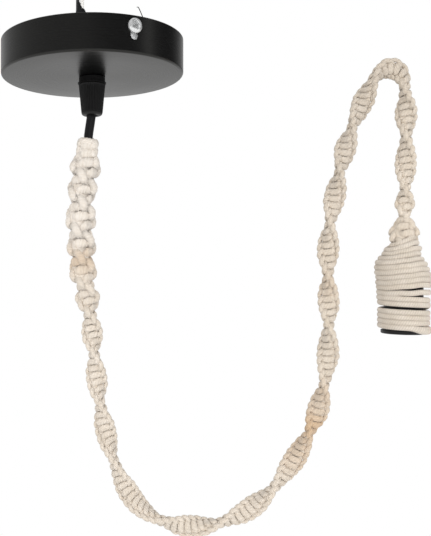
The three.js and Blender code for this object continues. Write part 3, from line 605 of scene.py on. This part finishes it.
def cone_rings():
    """Rings down the cone's ribbed outside and up its bore, from levels of (radius, height, rib share)."""
    top, low, end = -27.5, -47.8, 6.9
    levels = [(8.75, top, 0.0), (8.85, top - 0.2, 0.3), (8.8, top - 0.6, 1)]
    for z in np.linspace(top - 2, low + 3.0, 8):
        levels.append((end + (8.8 - end) * (z - low) / (top - low), z, 1))
    levels += [(end + 0.18, low + 2.2, 0.9), (end + 0.1, low + 1.6, 0.5), (end - 0.1, low + 0.9, 0.15)]
    levels += [(end - 0.55, low + 0.3, 0), (end - 1.2, low, 0), (4.1, low, 0), (3.7, low + 0.4, 0)]
    levels += [(3.6, -43.5, 0), (4.9, -43.5, 0), (6.2, -34.3, 0), (6.2, top, 0)]
    a = np.linspace(0, TURN, RIBS * RIB_STEPS, endpoint=False)
    wave = (0.5 - 0.5 * np.cos(a * RIBS)) ** 1.6
    rings = []
    for outer, z, share in levels:
        r = outer - RIB_DEPTH * share * wave
        rings.append(np.stack([r * np.cos(a), r * np.sin(a), np.full_like(a, z)], 1))
    return np.array(rings) * MM


cone = skin("grip_cone_ribbed", cone_rings(), looped=True, sharp=50)
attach(cone, "root")
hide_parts("grip_cone")

# Sections of the jacket's tail: height, place across, half width and half depth
TAIL = [
    (6, -6.7, 3.3, 1.9), (19, -6.9, 3.4, 1.9), (21.5, -7.3, 2.9, 1.8), (24, -8.1, 2.0, 1.6),
    (26.5, -8.9, 1.1, 1.1), (28.5, -9.3, 0.5, 0.5),
]
TAIL_Y = -0.7
# Points of the strap's wire, in its own plane, and the wire's radius
STRAP_WIRE = [(30.2, -0.8), (29.8, 0.8), (28.9, 3.0), (27.7, 5.7), (27.2, 6.3), (26.5, 6.2)]
STRAP_WIRE_Y, STRAP_WIRE_R = -50.2, 0.26


def tail_piece():
    """Black jacket, cut on the slant where the two conductors part above the cup."""
    a = np.linspace(0, TURN, 24, endpoint=False)
    rings = []
    for z, x, half, deep in TAIL:
        rings.append(np.stack([x + half * np.cos(a), TAIL_Y + deep * np.sin(a), np.full_like(a, z)], 1))
    return skin("jacket_tail", np.array(rings) * MM)


def strap_wire_piece():
    """Thin bent end of wire that stands on the strap's corner, over the front screw."""
    path = np.array([(x, STRAP_WIRE_Y, z) for x, z in STRAP_WIRE])
    along = np.gradient(path, axis=0)
    along /= np.linalg.norm(along, axis=1)[:, None]
    across = np.cross(along, (0, 1, 0))
    a = np.arange(10)[None, :, None] * TURN / 10
    rings = path[:, None] + STRAP_WIRE_R * (np.sin(a) * np.array([0, 1, 0]) + np.cos(a) * across[:, None])
    return skin("strap_wire_end", rings * MM)


jacket_tail = tail_piece()
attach(jacket_tail, "root")
strap_wire = strap_wire_piece()
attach(strap_wire, "root")

# Lamp holder
cap = lathe("cap_turned", [
    (3.7, -134.5), (5.4, -134.5), (5.6, -134.7), (5.6, -138.5), (11.0, -147.6), (11.8, -148.8),
    (12.2, -150.4), (12.2, -160), (10.6, -160), (10.6, -150), (3.7, -140.5),
], sides=96, x=HOLDER_X)
shell = lathe("shell_turned", [
    (10.6, -160.3), (12.2, -160.3), (12.2, -189.6), (13.9, -189.6), (14.1, -189.8),
    *arc(13.3, -191.2, 0.8, 0, -90, 5), (11.2, -192), (10.6, -191.4), (10.6, -166.7), (9.2, -166.7),
    (9.2, -165.3), (10.6, -165.3),
], sides=128, x=HOLDER_X)


def screw_shell():
    """Thin wall with a rolled thread, open and flared at the mouth."""
    sides, top, low, pitch, wave = 56, -165.3, -187.0, 2.82, 0.32
    outer, inner = 7.35, 7.0
    a = np.linspace(0, TURN, sides, endpoint=False)
    z = np.linspace(top, low, 100)
    fade = np.clip(np.minimum(top - z, z - low) / 1.6, 0, 1)
    flare = np.clip((low + 1.0 - z) / 1.0, 0, 1) ** 2 * 0.5
    rings = []
    for wall in (outer, inner):
        block = []
        for height, share, widen in zip(z, fade, flare):
            r = wall + wave * share * np.sin(TURN * height / pitch + a) + widen
            block.append(np.stack([HOLDER_X + r * np.cos(a), r * np.sin(a), np.full_like(a, height)], 1))
        rings += block if wall == outer else block[::-1]
    return skin("screw_shell_rolled", np.array(rings) * MM, looped=True, sharp=50)


socket = screw_shell()
for piece, node in ((cap, "holder_cap"), (shell, "holder_shell"), (socket, "lamp_screw_shell")):
    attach(piece, "root")
    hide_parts(node)


# Materials
def srgb(r, g, b):
    """Linear colour of a screen colour given as 0 to 255."""
    lin = [c / 255 for c in (r, g, b)]
    return tuple(c / 12.92 if c <= 0.04045 else ((c + 0.055) / 1.055) ** 2.4 for c in lin)


class Nodes:
    """A material's nodes, with short calls to add, join and set them."""

    def __init__(self, name):
        self.mat = bpy.data.materials.new(name)
        self.mat.use_nodes = True
        self.tree = self.mat.node_tree
        self.bsdf = self.tree.nodes["Principled BSDF"]

    def add(self, kind, **settings):
        node = self.tree.nodes.new(kind)
        for key, value in settings.items():
            setattr(node, key, value)
        return node

    def join(self, out, into):
        self.tree.links.new(out, into)

    def set(self, **values):
        for key, value in values.items():
            self.bsdf.inputs[key.replace("_", " ")].default_value = value

    def coords(self, scale, uv=None):
        """Place in the object, or in the UV layer of that name, times the scale."""
        tex = self.add("ShaderNodeUVMap", uv_map=uv) if uv else self.add("ShaderNodeTexCoord")
        mapping = self.add("ShaderNodeMapping")
        mapping.inputs["Scale"].default_value = scale
        self.join(tex.outputs["UV" if uv else "Object"], mapping.inputs["Vector"])
        return mapping.outputs["Vector"]

    def noise(self, vector, scale, detail=3.0, rough=0.5):
        node = self.add("ShaderNodeTexNoise")
        node.inputs["Scale"].default_value = scale
        node.inputs["Detail"].default_value = detail
        node.inputs["Roughness"].default_value = rough
        self.join(vector, node.inputs["Vector"])
        return node.outputs["Fac"]

    def ramp(self, fac, stops):
        node = self.add("ShaderNodeValToRGB")
        while len(node.color_ramp.elements) < len(stops):
            node.color_ramp.elements.new(0.5)
        for element, (at, color) in zip(node.color_ramp.elements, stops):
            element.position = at
            element.color = (*color, 1)
        self.join(fac, node.inputs["Fac"])
        return node.outputs["Color"]

    def scale(self, fac, low, high):
        node = self.add("ShaderNodeMapRange")
        node.inputs["To Min"].default_value = low
        node.inputs["To Max"].default_value = high
        self.join(fac, node.inputs["Value"])
        return node.outputs["Result"]

    def bump(self, height, strength, distance):
        node = self.add("ShaderNodeBump")
        node.inputs["Strength"].default_value = strength
        node.inputs["Distance"].default_value = distance
        self.join(height, node.inputs["Height"])
        self.join(node.outputs["Normal"], self.bsdf.inputs["Normal"])

    def mix(self, fac, a, b, blend="MIX"):
        """Mix of two colours. Each of the three values is an output, a colour or a number."""
        node = self.add("ShaderNodeMix", data_type="RGBA", blend_type=blend)
        for value, name, kind in ((fac, "Factor", "VALUE"), (a, "A", "RGBA"), (b, "B", "RGBA")):
            socket = [s for s in node.inputs if s.name == name and s.type == kind][0]
            if isinstance(value, (int, float)):
                socket.default_value = value
            elif isinstance(value, tuple):
                socket.default_value = (*value, 1)
            else:
                self.join(value, socket)
        return [s for s in node.outputs if s.type == "RGBA"][0]


def cotton_material(name, has_tone=True, groove=0.93, painted_shade=0.8):
    """Cotton with fibres along the rope and painted shade in the grooves between its plies. The colour layer
    of the mesh says how warm and stained it is and how much painted shade it has; groove and the painted
    shade value are the shares of light left there."""
    m = Nodes(name)
    pale, warm, tan = srgb(223, 216, 208), srgb(213, 200, 183), srgb(198, 164, 124)
    fibre = m.noise(m.coords((1.2, 26, 1), uv="along"), 1.0, 4, 0.6)
    blotch = m.noise(m.coords((1, 1, 1)), 160, 3, 0.5)
    if has_tone:
        tone = m.add("ShaderNodeAttribute", attribute_name="tone")
        split = m.add("ShaderNodeSeparateColor")
        m.join(tone.outputs["Color"], split.inputs["Color"])
        base = m.mix(split.outputs["Red"], pale, warm)
        base = m.mix(split.outputs["Green"], base, tan)
        # Painted shade: the colour darkened by the layer's third value
        darker = m.mix(1.0, base, (painted_shade, painted_shade**1.05, painted_shade**1.12), "MULTIPLY")
        base = m.mix(split.outputs["Blue"], base, darker)
    else:
        base = m.mix(0.5, pale, warm)
    shade = m.ramp(blotch, [(0.3, (0.9, 0.885, 0.86)), (0.7, (1, 1, 1))])
    base = m.mix(1.0, base, shade, "MULTIPLY")
    lines = m.ramp(fibre, [(0.35, (0.88, 0.87, 0.85)), (0.6, (1, 1, 1))])
    base = m.mix(0.8, base, lines, "MULTIPLY")
    # Painted shade in the grooves between the plies, down to the share groove
    apart = m.add("ShaderNodeSeparateXYZ")
    m.join(m.coords((1, 3, 1), uv="along"), apart.inputs["Vector"])
    ply = m.add("ShaderNodeMath", operation="FRACT")
    m.join(apart.outputs["Y"], ply.inputs[0])
    dark = (groove, groove * 0.98, groove * 0.95)
    plies = m.ramp(ply.outputs[0], [(0.3, (1, 1, 1)), (0.5, dark), (0.7, (1, 1, 1))])
    base = m.mix(1.0, base, plies, "MULTIPLY")
    m.join(base, m.bsdf.inputs["Base Color"])
    m.set(Roughness=0.95, Specular_IOR_Level=0.15, Sheen_Weight=0.25, Sheen_Roughness=0.6)
    m.bump(fibre, 0.55, 0.0004)
    return m.mat


def paint_material():
    """Satin black paint over spun steel: faint rings round the wall and the face."""
    m = Nodes("satin_black_paint")
    tex = m.add("ShaderNodeTexCoord")
    split = m.add("ShaderNodeSeparateXYZ")
    m.join(tex.outputs["Object"], split.inputs["Vector"])
    squares = [m.add("ShaderNodeMath", operation="POWER") for _ in (0, 1)]
    for node, axis in zip(squares, "XY"):
        m.join(split.outputs[axis], node.inputs[0])
        node.inputs[1].default_value = 2
    total = m.add("ShaderNodeMath", operation="ADD")
    m.join(squares[0].outputs[0], total.inputs[0])
    m.join(squares[1].outputs[0], total.inputs[1])
    radius = m.add("ShaderNodeMath", operation="SQRT")
    m.join(total.outputs[0], radius.inputs[0])
    rings = m.add("ShaderNodeMath", operation="ADD")
    m.join(radius.outputs[0], rings.inputs[0])
    m.join(split.outputs["Z"], rings.inputs[1])
    line = m.add("ShaderNodeTexNoise", noise_dimensions="1D")
    line.inputs["Scale"].default_value = 2600
    line.inputs["Detail"].default_value = 3
    m.join(rings.outputs[0], line.inputs["W"])
    speck = m.noise(m.coords((1, 1, 1)), 900, 2)
    black = m.ramp(speck, [(0.3, (0.0035, 0.0035, 0.0037)), (0.7, (0.0052, 0.0052, 0.0055))])
    m.join(black, m.bsdf.inputs["Base Color"])
    m.join(m.scale(line.outputs["Fac"], 0.24, 0.34), m.bsdf.inputs["Roughness"])
    m.set(IOR=1.5, Specular_IOR_Level=0.5, Anisotropic=0.3, Specular_Tint=(1, 0.99, 0.93, 1))
    m.bump(line.outputs["Fac"], 0.03, 0.0001)
    return m.mat


def plastic_material(name, color, rough, bump=0.1, scale=1500, shine=0.42):
    """Plastic or glaze with a fine grain."""
    m = Nodes(name)
    grain = m.noise(m.coords((1, 1, 1)), scale, 2)
    dark = tuple(c * 0.8 for c in color)
    m.join(m.ramp(grain, [(0.3, dark), (0.7, color)]), m.bsdf.inputs["Base Color"])
    m.join(m.scale(grain, rough - 0.05, rough + 0.06), m.bsdf.inputs["Roughness"])
    m.set(Specular_IOR_Level=shine)
    m.bump(grain, bump, 0.00005)
    return m.mat


def metal_material(name, color, rough, scale=700, metallic=1.0):
    """Metal with a fine grain, flattened in height."""
    m = Nodes(name)
    grain = m.noise(m.coords((1, 1, 4)), scale, 3)
    dark = tuple(c * 0.82 for c in color)
    m.join(m.ramp(grain, [(0.3, dark), (0.7, color)]), m.bsdf.inputs["Base Color"])
    m.join(m.scale(grain, rough - 0.06, rough + 0.08), m.bsdf.inputs["Roughness"])
    m.set(Metallic=metallic)
    m.bump(grain, 0.06, 0.00005)
    return m.mat


COTTON = cotton_material("cotton_rope")
# Deeper painted shade in the grooves of the wrap's plies
COTTON_WRAP = cotton_material("cotton_wrap", groove=0.74)
COTTON_PLAIN = cotton_material("cotton_loose", has_tone=False)
# The cores' painted shade is deep: down to this share of the light
COTTON_CORE = cotton_material("cotton_core", painted_shade=0.12)
PAINT = paint_material()
PLASTIC = plastic_material("black_plastic", (0.006, 0.006, 0.0062), 0.45)
PLASTIC_DULL = plastic_material("dull_black_plastic", (0.006, 0.006, 0.0062), 0.45, shine=0.15)
JACKET = plastic_material("black_jacket", (0.009, 0.009, 0.010), 0.3, 0.05)
WHITE = plastic_material("white_jacket", srgb(232, 230, 226), 0.35, 0.05)
CERAMIC = plastic_material("ceramic_glaze", srgb(232, 228, 218), 0.22, 0.05, 400)
# The plated screws and the dull strap are each as metallic as their tone in the photo asks for
ZINC = metal_material("zinc_plate", (0.95, 0.96, 0.96), 0.15, metallic=0.72)
STEEL = metal_material("wire_steel", (0.12, 0.12, 0.125), 0.4)
ZINC_DULL = metal_material("zinc_dull", (0.95, 0.96, 0.97), 0.3, metallic=0.1)
BRASS = metal_material("brass_sheet", (0.75, 0.58, 0.3), 0.3)
COPPER = metal_material("copper_wire", (0.8, 0.42, 0.26), 0.32)


def dress(obj, material):
    """Gives a piece its one material."""
    obj.data.materials.clear()
    obj.data.materials.append(material)


for piece in (*strands, first_turn):
    dress(piece, COTTON)
dress(wrap, COTTON_WRAP)
for piece in (*fuzz_sleeve, fuzz_wrap):
    dress(piece, COTTON_PLAIN)
for piece in cores:
    dress(piece, COTTON_CORE)
for piece in (flex, jacket_tail):
    dress(piece, JACKET)
dress(cup, PAINT)
for piece in screws:
    dress(piece, ZINC)
dress(strap_wire, STEEL)
for piece in (cone, cap, shell):
    dress(piece, PLASTIC)
dress(stem, PLASTIC_DULL)
dress(socket, BRASS)
# Nodes of the part that are shown as they are, with their wires shaded smooth
for names, material in (
    (("mounting_bracket",), ZINC_DULL),
    (("grip_washer", "grip_locknut"), ZINC),
    (("grip_collet",), PLASTIC),
    (("line_wire_top", "line_wire_low"), JACKET),
    (("neutral_wire_top", "neutral_wire_low"), WHITE),
    (("line_copper_top", "neutral_copper_top"), COPPER),
    (("holder_insert",), CERAMIC),
    (("centre_contact", "terminal_screw_line", "terminal_screw_neutral"), BRASS),
):
    for name in names:
        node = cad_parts[name]
        node.data.materials.clear()
        node.data.materials.append(material)
        if "wire" in name or "copper" in name:
            node.data.polygons.foreach_set("use_smooth", [True] * len(node.data.polygons))

# Floor, world and lamps
FLOOR_HALF, FLOOR_Z = 3, -0.62
# What shiny surfaces mirror, by bearing: straight back is 0 and 360, right 90, the viewer 180, left 270
ROOM = [
    (0, 0.9), (22, 0.85), (36, 0.42), (50, 0.2), (64, 0.03), (88, 0.06), (101, 0.08), (105, 0.95),
    (112, 0.95), (116, 0.05), (150, 0.05), (172, 0.12), (195, 0.24), (222, 0.24), (250, 0.33), (276, 0.42),
    (306, 0.55), (335, 0.8),
]
ROOM_DIFFUSE = 0.7


def floor_material():
    """White to the camera, a little darker to shiny surfaces, and a plain light floor to the rest."""
    m = Nodes("floor_white")
    m.set(Roughness=0.9)
    m.bsdf.inputs["Base Color"].default_value = (0.85, 0.85, 0.85, 1)
    lit = m.add("ShaderNodeEmission")
    lit.inputs["Color"].default_value = (1, 1, 1, 1)
    rays = m.add("ShaderNodeLightPath")
    seen = m.add("ShaderNodeMath", operation="MAXIMUM")
    m.join(rays.outputs["Is Camera Ray"], seen.inputs[0])
    m.join(rays.outputs["Is Glossy Ray"], seen.inputs[1])
    m.join(m.scale(rays.outputs["Is Camera Ray"], 0.82, 1.0), lit.inputs["Strength"])
    blend = m.add("ShaderNodeMixShader")
    m.join(seen.outputs[0], blend.inputs["Fac"])
    m.join(m.bsdf.outputs[0], blend.inputs[1])
    m.join(lit.outputs[0], blend.inputs[2])
    m.join(blend.outputs[0], m.tree.nodes["Material Output"].inputs["Surface"])
    return m.mat


def studio_world():
    """White to the camera, even to matt surfaces, and a room of light and dark walls to shiny ones."""
    world = bpy.data.worlds.new("studio")
    world.use_nodes = True
    nodes, join = world.node_tree.nodes, world.node_tree.links.new
    sky = nodes["Background"]
    sky.inputs["Color"].default_value = (1, 1, 1, 1)
    coord = nodes.new("ShaderNodeTexCoord")
    split = nodes.new("ShaderNodeSeparateXYZ")
    join(coord.outputs["Generated"], split.inputs["Vector"])
    bearing = nodes.new("ShaderNodeMath")
    bearing.operation = "ARCTAN2"
    join(split.outputs["X"], bearing.inputs[0])
    join(split.outputs["Y"], bearing.inputs[1])
    share = nodes.new("ShaderNodeMath")
    share.operation = "MULTIPLY_ADD"
    share.inputs[1].default_value = 1 / TURN
    share.inputs[2].default_value = 0.5
    join(bearing.outputs[0], share.inputs[0])
    walls = nodes.new("ShaderNodeValToRGB")
    while len(walls.color_ramp.elements) < len(ROOM):
        walls.color_ramp.elements.new(0.5)
    placed = sorted((((at + 180) % 360) / 360, light) for at, light in ROOM)
    for element, (at, light) in zip(walls.color_ramp.elements, placed):
        element.position = at
        element.color = (light, light, light, 1)
    join(share.outputs[0], walls.inputs["Fac"])
    rays = nodes.new("ShaderNodeLightPath")
    level = nodes.new("ShaderNodeMix")
    level.data_type = "FLOAT"
    join(rays.outputs["Is Diffuse Ray"], level.inputs["Factor"])
    join(walls.outputs["Color"], level.inputs["A"])
    level.inputs["B"].default_value = ROOM_DIFFUSE
    camera_level = nodes.new("ShaderNodeMix")
    camera_level.data_type = "FLOAT"
    join(rays.outputs["Is Camera Ray"], camera_level.inputs["Factor"])
    join(level.outputs["Result"], camera_level.inputs["A"])
    camera_level.inputs["B"].default_value = 1.0
    join(camera_level.outputs["Result"], sky.inputs["Strength"])
    return world


corners = [(-1, -1), (1, -1), (1, 1), (-1, 1)]
floor_corners = [(x * FLOOR_HALF, y * FLOOR_HALF, FLOOR_Z) for x, y in corners]
floor = mesh_object("floor", floor_corners, [[0, 1, 2, 3]], smooth=False)
floor.data.materials.append(floor_material())
scene.world = studio_world()


def softbox(name, place, target, size, power):
    """Area lamp that shiny surfaces do not mirror."""
    data = bpy.data.lights.new(name, "AREA")
    data.shape = "RECTANGLE"
    data.size, data.size_y = size
    data.energy = power
    obj = bpy.data.objects.new(name, data)
    obj.location = place
    obj.rotation_euler = (Vector(target) - Vector(place)).to_track_quat("-Z", "Y").to_euler()
    obj.visible_glossy = False
    scene.collection.objects.link(obj)


softbox("key", (-1.1, -1.3, 0.6), (0.08, 0, -0.16), (1.2, 1.2), 10)
softbox("front", (0.15, -1.6, -0.2), (0.15, 0, -0.16), (2.2, 1.8), 21)
softbox("fill", (1.5, -1.0, -0.2), (0.1, 0, -0.16), (0.8, 1.2), 5)
